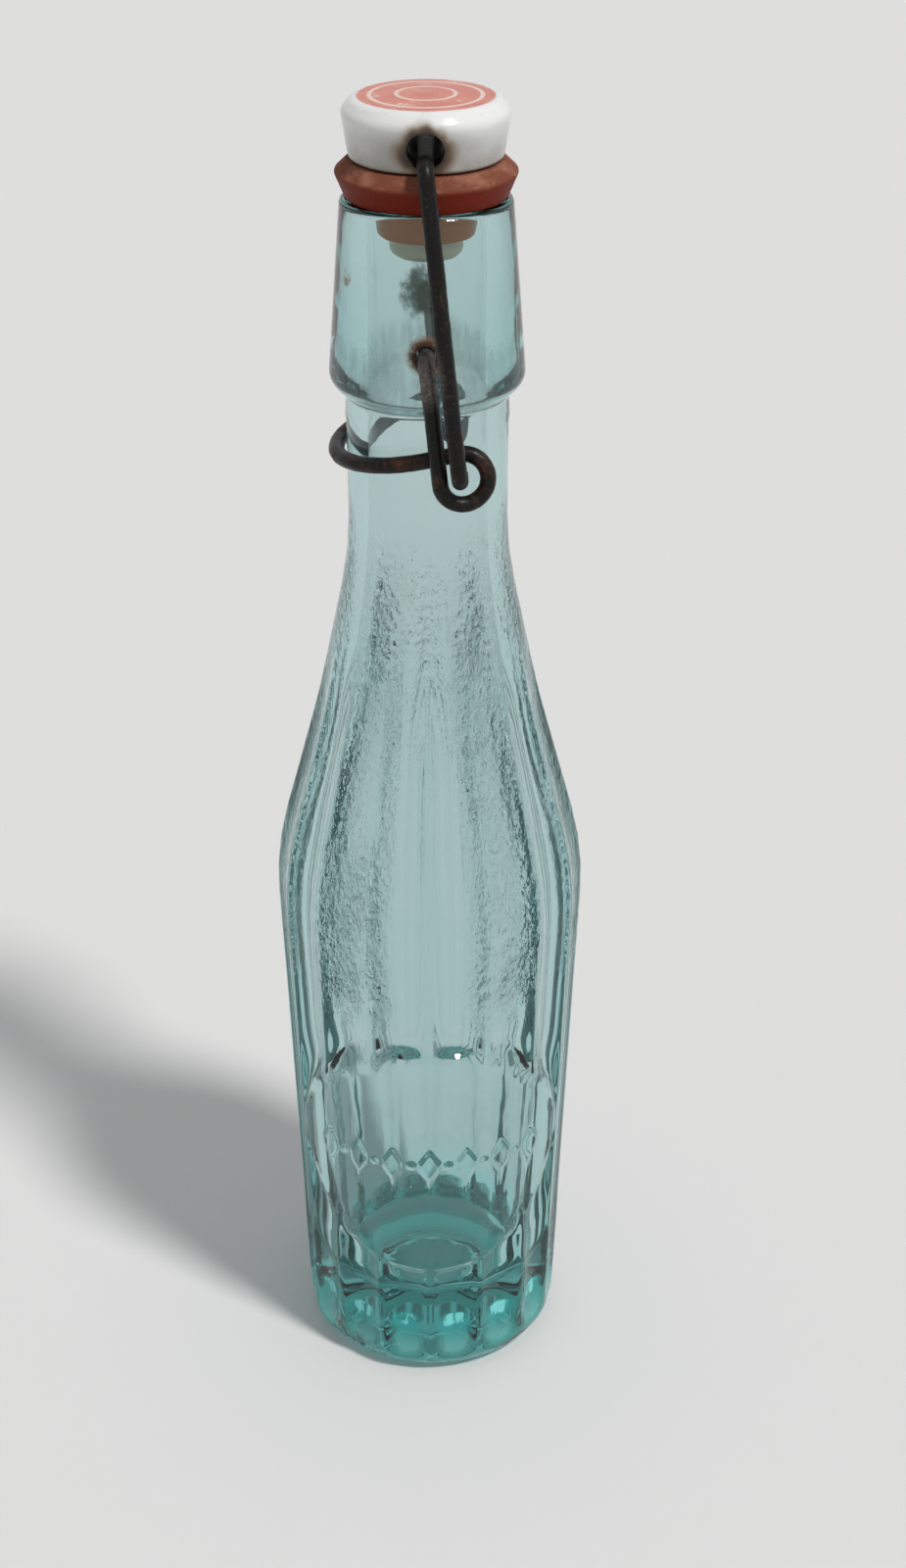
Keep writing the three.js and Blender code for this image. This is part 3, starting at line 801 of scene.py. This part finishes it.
def glass_relief(tree, given, size):
    """The rule that sinks the flutes and raises the relief on the turned glass."""
    def shape(about, r, z, outside, place):
        across = (about / (TAU / given["Flutes"])).math("FRACT") * 2 - 1
        scoop = (1 - (across / 0.90) ** 2.0).most(0.0)
        low = z - across * across * 2.0 * MM
        foot = low.smooth(size.flute_foot_z, size.flute_foot_z + size.flute_foot_run)
        foot = foot * r.smooth(size.push_up_r, size.push_up_r + 2 * MM)
        head = 1 - z.smooth(size.flute_head_z - size.flute_head_run, size.flute_head_z)
        oval = rooted(
            about / given["Plaque half angle"],
            (z - size.plaque_z) / given["Plaque half height"],
        )
        clear = ((oval - 1.0) / 0.07).least(1.0).most(0.0)
        sink = given["Flute depth"] * scoop * foot * head * clear
        # The flutes end at the plaque in deeper pockets
        square = (1 - (across / 0.86) ** 4.0).most(0.0)
        pocket = clear * (1 - oval.smooth(1.07, 1.30))
        sink = sink + square * pocket * size.pocket_depth * foot
        # Fine raised line round the plaque
        sink = sink - oval.hill(0.985, 0.028) * size.line_relief
        # Row of plain lozenges with beads between them
        spot = about / size.row_step + 0.5
        off = (spot.math("FRACT") - 0.5) * (size.row_step * 28.6 * MM)
        high = z - size.plaque_z
        odd = abs(spot.math("FLOOR")).math("MODULO", 2.0)
        lozenge = 1 - abs(off) / size.lozenge_half_w - abs(high) / size.lozenge_half_h
        lozenge = lozenge.smooth(0.0, 0.20)
        bead = (1 - rooted(off, high) / size.bead_r).smooth(0.0, 0.6)
        row = lozenge + odd * (bead - lozenge)
        row_end = size.row_half_angle
        row = row * (1 - abs(about).smooth(row_end, row_end + math.radians(0.6)))
        sink = sink - row * given["Bead relief"]
        # Faint ring under the collar, and a worn place at the left of the heel
        sink = sink - z.hill(size.collar_z - 3.4 * MM, 1.3 * MM) * size.ring_relief
        rough = place.grain(420.0, 3.0, 0.6)
        worn = about.hill(WORN_TURN, WORN_REACH) * z.hill(2.6 * MM, 4.4 * MM)
        worn = worn * r.smooth(16 * MM, 19 * MM)
        sink = sink + (worn * (rough - 0.22)).most(0.0) * 2.2 * MM
        # Slow waves, stronger on the blown inside
        slow = place.grain(75.0, 2.0, 0.5, (1.0, 1.0, 0.16))
        tall = z.smooth(20 * MM, 34 * MM) * (1 - z.smooth(185 * MM, 200 * MM))
        inner_wave = (slow - 0.5) * 0.6 * MM * (1 - outside)
        outer_wave = (slow * 0.15 * MM + 0.04 * MM) * outside
        wave = (inner_wave + outer_wave) * tall
        return r - outside * sink - wave * (r / size.foot_r).least(1.0), z

    return shape


class BOTTLE_OT_glass(bpy.types.Operator):
    """Turn the fluted glass bottle, with its plaque and its dimples."""

    bl_idname = "bottle.glass"
    bl_label = "Glass bottle"

    def execute(self, context):
        size, finish = context.scene.bottle_glass, context.scene.bottle_finishes
        outer, inner = glass_outline(size)
        marks = [1.0] * len(outer) + [0.0] * len(inner)
        profile = line_mesh("glass profile", outer + inner, marks)
        sizes = {
            "Columns": size.columns, "Flutes": size.flutes, "Flute depth": size.flute_depth,
            "Plaque half height": size.plaque_half_h,
            "Plaque half angle": size.plaque_half_angle,
            "Bead relief": size.bead_relief, "Dimple radius": size.dimple_r,
        }
        tree, given = new_tree("Fluted bottle", sizes)
        shape = glass_relief(tree, given, size)
        body = turn(tree, given["Line"], given["Columns"], shape, FRONT_CROWD)
        reach = size.collar_r + 3 * MM
        depth = reach - size.dimple_floor
        pins = [
            cross_pin(tree, given["Dimple radius"], depth, s * (reach - depth / 2), HINGE.z)
            for s in (-1, 1)
        ]
        end_tree(tree, cut(tree, body, *pins), glass_material(finish, size))
        piece = built("bottle_glass", profile, tree, sizes, 50)
        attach(piece, "bottle")
        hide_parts("glass_bottle")
        return {"FINISHED"}


def turned_piece(name, line, material, pin=None):
    """A plain turned piece, with a hole along Y if a pin's radius and height are given."""
    sizes = {"Columns": TURNED_COLUMNS}
    if pin:
        sizes["Hole radius"] = pin[0]
    tree, given = new_tree(name, sizes)
    body = turn(
        tree, given["Line"], given["Columns"],
        lambda about, r, z, outside, place: (r, z),
    )
    if pin:
        bore = cross_pin(tree, given["Hole radius"], CUTTER_LENGTH, 0.0, pin[1])
        body = cut(tree, body, bore)
    end_tree(tree, body, material)
    mesh = line_mesh(name, line, [1.0] * len(line))
    return built(name, mesh, tree, sizes)


class BOTTLE_OT_stopper(bpy.types.Operator):
    """Turn the porcelain stopper, with its cross bore, stem and tip."""

    bl_idname = "bottle.stopper"
    bl_label = "Porcelain stopper"

    def execute(self, context):
        size, finish = context.scene.bottle_closure, context.scene.bottle_finishes
        foot = STOPPER_TOP_Z - size.stopper_h - size.stopper_dome
        line = in_rows(rounded([
            ((0, 0, TIP_Z), 0),
            ((size.tip_r, 0, TIP_Z), 1.8 * MM),
            ((size.tip_r, 0, TIP_Z + size.tip_h), 0.4 * MM),
            ((size.stem_r, 0, TIP_Z + size.tip_h), 0),
            ((size.stem_r, 0, foot), 0),
            ((size.stopper_foot_r, 0, foot), 0.8 * MM),
            ((size.stopper_r, 0, foot + size.stopper_rim), size.stopper_round),
            ((size.stopper_top_r, 0, foot + size.stopper_h), size.stopper_round),
            ((0, 0, STOPPER_TOP_Z), 0),
        ], math.radians(6)), lambda at: 0.8 * MM)
        piece = turned_piece(
            "stopper_porcelain", line, porcelain_material(finish, size),
            (size.cross_bore_r, foot + size.cross_bore_rise),
        )
        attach(piece, "stopper")
        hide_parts("porcelain_stopper")
        return {"FINISHED"}


class BOTTLE_OT_gasket(bpy.types.Operator):
    """Turn the bevelled rubber gasket and its spigot."""

    bl_idname = "bottle.gasket"
    bl_label = "Rubber gasket"

    def execute(self, context):
        size, finish = context.scene.bottle_closure, context.scene.bottle_finishes
        hole = size.stem_r + 0.15 * MM
        seat = LIP_Z + 0.08 * MM
        small = 0.7 * MM
        ring = [
            ((hole, 0, SPIGOT_Z), 0),
            ((size.spigot_r - size.spigot_taper, 0, SPIGOT_Z), small),
            ((size.spigot_r - 0.9 * MM, 0, seat - 2.6 * MM), 0.8 * MM),
            ((size.spigot_r, 0, seat - 1.2 * MM), 0.5 * MM),
            ((size.spigot_r - 0.3 * MM, 0, seat), 0),
            ((size.gasket_foot_r, 0, seat), small),
            ((size.gasket_r, 0, LIP_Z + size.gasket_ridge), small),
            ((size.gasket_top_r, 0, GASKET_TOP_Z), small),
            ((hole, 0, GASKET_TOP_Z), 0),
            ((hole, 0, SPIGOT_Z), 0),
        ]
        line = in_rows(rounded(ring, math.radians(10)), lambda at: 0.7 * MM)
        piece = turned_piece("gasket_rubber", line, rubber_material(finish, size))
        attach(piece, "stopper")
        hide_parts("rubber_gasket")
        return {"FINISHED"}


def wire_piece(name, points, radius, material):
    """A wire along points, its ends rounded off and its skin slightly hammered."""
    sizes = {"Wire radius": radius, "Sides": WIRE_SIDES}
    tree, given = new_tree(name, sizes)
    path = add(tree, "GeometryNodeMeshToCurve", {"Mesh": given["Line"]})
    path = add(
        tree, "GeometryNodeResampleCurve", {"Curve": path, "Length": WIRE_ROW}, mode="LENGTH",
    )
    length_along = add(tree, "GeometryNodeSplineParameter", output="Length")
    whole = add(tree, "GeometryNodeSplineLength", output="Length")
    from_end = length_along.least(whole - length_along)
    near = (1 - from_end / WIRE_END).most(0.0)
    taper = (1 - near * near * 0.55).most(0.05).math("SQRT")
    path = add(
        tree, "GeometryNodeStoreNamedAttribute",
        {"Geometry": path, "Name": "travel", "Value": length_along},
        data_type="FLOAT", domain="POINT",
    )
    path = add(tree, "GeometryNodeSetCurveRadius", {"Curve": path, "Radius": taper})
    ring = add(
        tree, "GeometryNodeCurvePrimitiveCircle",
        {"Resolution": given["Sides"], "Radius": given["Wire radius"]}, "Curve", mode="RADIUS",
    )
    tube = add(
        tree, "GeometryNodeCurveToMesh",
        {"Curve": path, "Profile Curve": ring, "Scale": taper, "Fill Caps": True},
    )
    place = add(tree, "GeometryNodeInputPosition")
    dent = place.grain(300.0, 3.0, 0.55) - 0.55
    normal = add(tree, "GeometryNodeInputNormal")
    push = add(
        tree, "ShaderNodeVectorMath",
        {0: normal, "Scale": dent * DENT_DEPTH}, "Vector", operation="SCALE",
    )
    tube = add(tree, "GeometryNodeSetPosition", {"Geometry": tube, "Offset": push})
    end_tree(tree, tube, material)
    return built(name, line_mesh(name, points), tree, sizes, 50)


def both_sides(front):
    """A line and its mirror image across Y, joined at the middle."""
    back = [Vector((p.x, -p.y, p.z)) for p in reversed(front)]
    return front + back[1:]


def lever_line(size):
    """Hinge end, leg, eye loop, then the thumb loop round the left of the neck."""
    eye_x, eye_z = size.eye_x, HINGE.z - size.eye_drop
    away = math.hypot(eye_x, size.eye_drop)
    lean = math.atan2(eye_x, size.eye_drop) - math.asin(size.eye_r / away)
    first, last = math.pi + lean, 2.5 * math.pi + size.lever_drop

    def on_eye(a, y):
        return Vector((eye_x + size.eye_r * math.cos(a), -y, eye_z + size.eye_r * math.sin(a)))

    bend = math.radians(8)
    front = rounded([
        ((0, -size.pin_tip_y, HINGE.z), 0),
        ((0, -size.leg_y, HINGE.z), size.hinge_bend),
        (on_eye(first, size.leg_y), 0),
    ], bend)
    steps = math.ceil((last - first) / bend)
    for k in range(1, steps + 1):
        t = k / steps
        ease = t * t * (3 - 2 * t)
        y = size.leg_y + (size.strand_y - size.leg_y) * ease
        front.append(on_eye(first + (last - first) * t, y))
    leave = front[-1]
    thumb_steps = 48
    for k in range(thumb_steps // 2 + 1):
        a = math.pi * k / thumb_steps
        px = -size.strand_y * math.sin(a)
        pz = leave.z + (px - leave.x) * math.tan(size.lever_drop)
        front.append(Vector((px, -size.strand_y * math.cos(a), pz)))
    return both_sides(front)


def bail_line(size):
    """Hook through the eye, leg up past the collar, bar through the stopper."""
    knee_z = HINGE.z + size.knee_rise
    knee_x = HOOK.x * (BAR.z - knee_z) / (BAR.z - HOOK.z)
    return both_sides(rounded([
        ((HOOK.x, -size.hook_end_y, HOOK.z), 0),
        ((HOOK.x, -size.bail_y, HOOK.z), size.hook_bend),
        ((knee_x, -size.bail_y, knee_z), size.knee_round),
        ((0, -size.bail_top_y, BAR.z), size.bail_bend),
        ((0, 0, BAR.z), 0),
    ], math.radians(8)))


class BOTTLE_OT_wires(bpy.types.Operator):
    """Bend the two iron wires: the lever and the stopper's bail."""

    bl_idname = "bottle.wires"
    bl_label = "Lever and bail"

    def execute(self, context):
        size, finish = context.scene.bottle_closure, context.scene.bottle_finishes
        iron = iron_material(finish)
        wires = (
            ("lever_wire", lever_line(size), "lever", "lever_bail", "lever_wire"),
            ("bail_wire", bail_line(size), "bail", "stopper_bail", "bail_wire"),
        )
        for name, line, body, node, slot in wires:
            piece = wire_piece(name, line, size.wire_r, iron)
            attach(piece, body)
            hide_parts(node)
        return {"FINISHED"}


def add_floor(scene, finish):
    """A wide pale floor, with a glow painted under the bottle in place of the light that the
    glass lets through.
    """
    material, tree, place, leave = new_material("Pale floor")
    soft = place.grain(9.0, 2.0, 0.5)
    shade = (soft * 0.12).between(finish.floor, [c * 0.9 for c in finish.floor])
    x, y, _ = place.parts()
    out = rooted(x, y)
    # Painted light: a glowing ring under the bottle, dimmer in its middle, standing for the
    # light let through the glass
    under = 1 - out.smooth(20 * MM, 26 * MM)
    under = under * (0.2 + out.smooth(10 * MM, 18 * MM) * 0.8)
    floor_face = principled(tree, {
        "Base Color": shade, "Roughness": 0.7, "Emission Strength": 1.0,
        "Emission Color": under.between((0.0, 0.0, 0.0), finish.through),
    })
    tree.links.new(floor_face.socket, leave.inputs["Surface"])
    mesh = bpy.data.meshes.new("floor")
    far = FLOOR_HALF
    corners = [(-far, -far, 0), (far, -far, 0), (far, far, 0), (-far, far, 0)]
    mesh.from_pydata(corners, [], [(0, 1, 2, 3)])
    mesh.materials.append(material)
    floor = bpy.data.objects.new("floor", mesh)
    scene.collection.objects.link(floor)


def add_studio(scene, finish):
    """Soft light from above, and a pale backdrop."""
    world = bpy.data.worlds.new("Studio")
    scene.world = world
    world.use_nodes = True
    tree = world.node_tree
    tree.nodes.clear()
    up = add(tree, "ShaderNodeTexCoord", output="Generated").parts()[2]
    sky = up.smooth(0.0, 0.75).between(finish.horizon, finish.sky)
    light = add(tree, "ShaderNodeBackground", {"Color": sky, "Strength": SKY_STRENGTH})
    # The camera, and what shines or lets light through, see a pale backdrop
    rays = [
        add(tree, "ShaderNodeLightPath", output=f"Is {kind} Ray")
        for kind in ("Camera", "Glossy", "Transmission")
    ]
    backdrop = add(
        tree, "ShaderNodeBackground", {"Color": (*finish.backdrop, 1.0), "Strength": 1.0},
    )
    seen = rays[0].most(rays[1]).most(rays[2])
    whole = mixed(tree, seen, light, backdrop)
    leave = tree.nodes.new("ShaderNodeOutputWorld")
    tree.links.new(whole.socket, leave.inputs["Surface"])


def add_lamp(scene):
    """One broad lamp at the upper right, behind the camera."""
    lamp = bpy.data.lights.new("key lamp", "SUN")
    lamp.angle, lamp.energy = SUN_WIDTH, SUN_STRENGTH
    holder = bpy.data.objects.new("key lamp", lamp)
    holder.rotation_euler = SUN_AIM.to_track_quat("-Z", "Y").to_euler()
    scene.collection.objects.link(holder)


def add_camera(scene):
    """The camera at the photograph's viewing angle."""
    camera = bpy.data.cameras.new("camera")
    camera.sensor_fit, camera.sensor_height = "VERTICAL", CAMERA_SENSOR
    camera.lens, camera.clip_start = CAMERA_LENS, 0.01
    holder = bpy.data.objects.new("camera", camera)
    holder.location = CAMERA_PLACE
    holder.rotation_euler = (CAMERA_TILT, 0.0, 0.0)
    scene.collection.objects.link(holder)
    scene.camera = holder


class BOTTLE_OT_stage(bpy.types.Operator):
    """Set up the floor, the studio, the lamp and the camera."""

    bl_idname = "bottle.stage"
    bl_label = "Stage"

    def execute(self, context):
        scene, finish = context.scene, context.scene.bottle_finishes
        add_floor(scene, finish)
        add_studio(scene, finish)
        add_lamp(scene)
        add_camera(scene)
        scene.view_settings.view_transform = "Standard"
        return {"FINISHED"}


class BOTTLE_PT_pieces(bpy.types.Panel):
    """The pieces of the bottle, and their sizes and colours."""

    bl_label = "Swing-top bottle"
    bl_space_type = "VIEW_3D"
    bl_region_type = "UI"
    bl_category = "Bottle"

    def draw(self, context):
        layout = self.layout
        for maker in MAKERS:
            layout.operator(maker.bl_idname, text=maker.bl_label)
        for place, group in GROUPS.items():
            box = layout.box()
            box.label(text=group.__doc__)
            for name in group.__annotations__:
                box.prop(getattr(context.scene, place), name)


MAKERS = (
    BOTTLE_OT_glass, BOTTLE_OT_stopper, BOTTLE_OT_gasket, BOTTLE_OT_wires, BOTTLE_OT_stage,
)
GROUPS = {
    "bottle_glass": GlassSizes, "bottle_closure": ClosureSizes, "bottle_finishes": Finishes,
}


def register():
    for group in (*GROUPS.values(), *MAKERS, BOTTLE_PT_pieces):
        bpy.utils.register_class(group)
    for name, group in GROUPS.items():
        setattr(bpy.types.Scene, name, bpy.props.PointerProperty(type=group))


def unregister():
    for name in GROUPS:
        delattr(bpy.types.Scene, name)
    for group in reversed((*GROUPS.values(), *MAKERS, BOTTLE_PT_pieces)):
        bpy.utils.unregister_class(group)


def main():
    register()
    bpy.ops.bottle.glass()
    bpy.ops.bottle.stopper()
    bpy.ops.bottle.gasket()
    bpy.ops.bottle.wires()
    bpy.ops.bottle.stage()


if __name__ == "__main__":
    main()
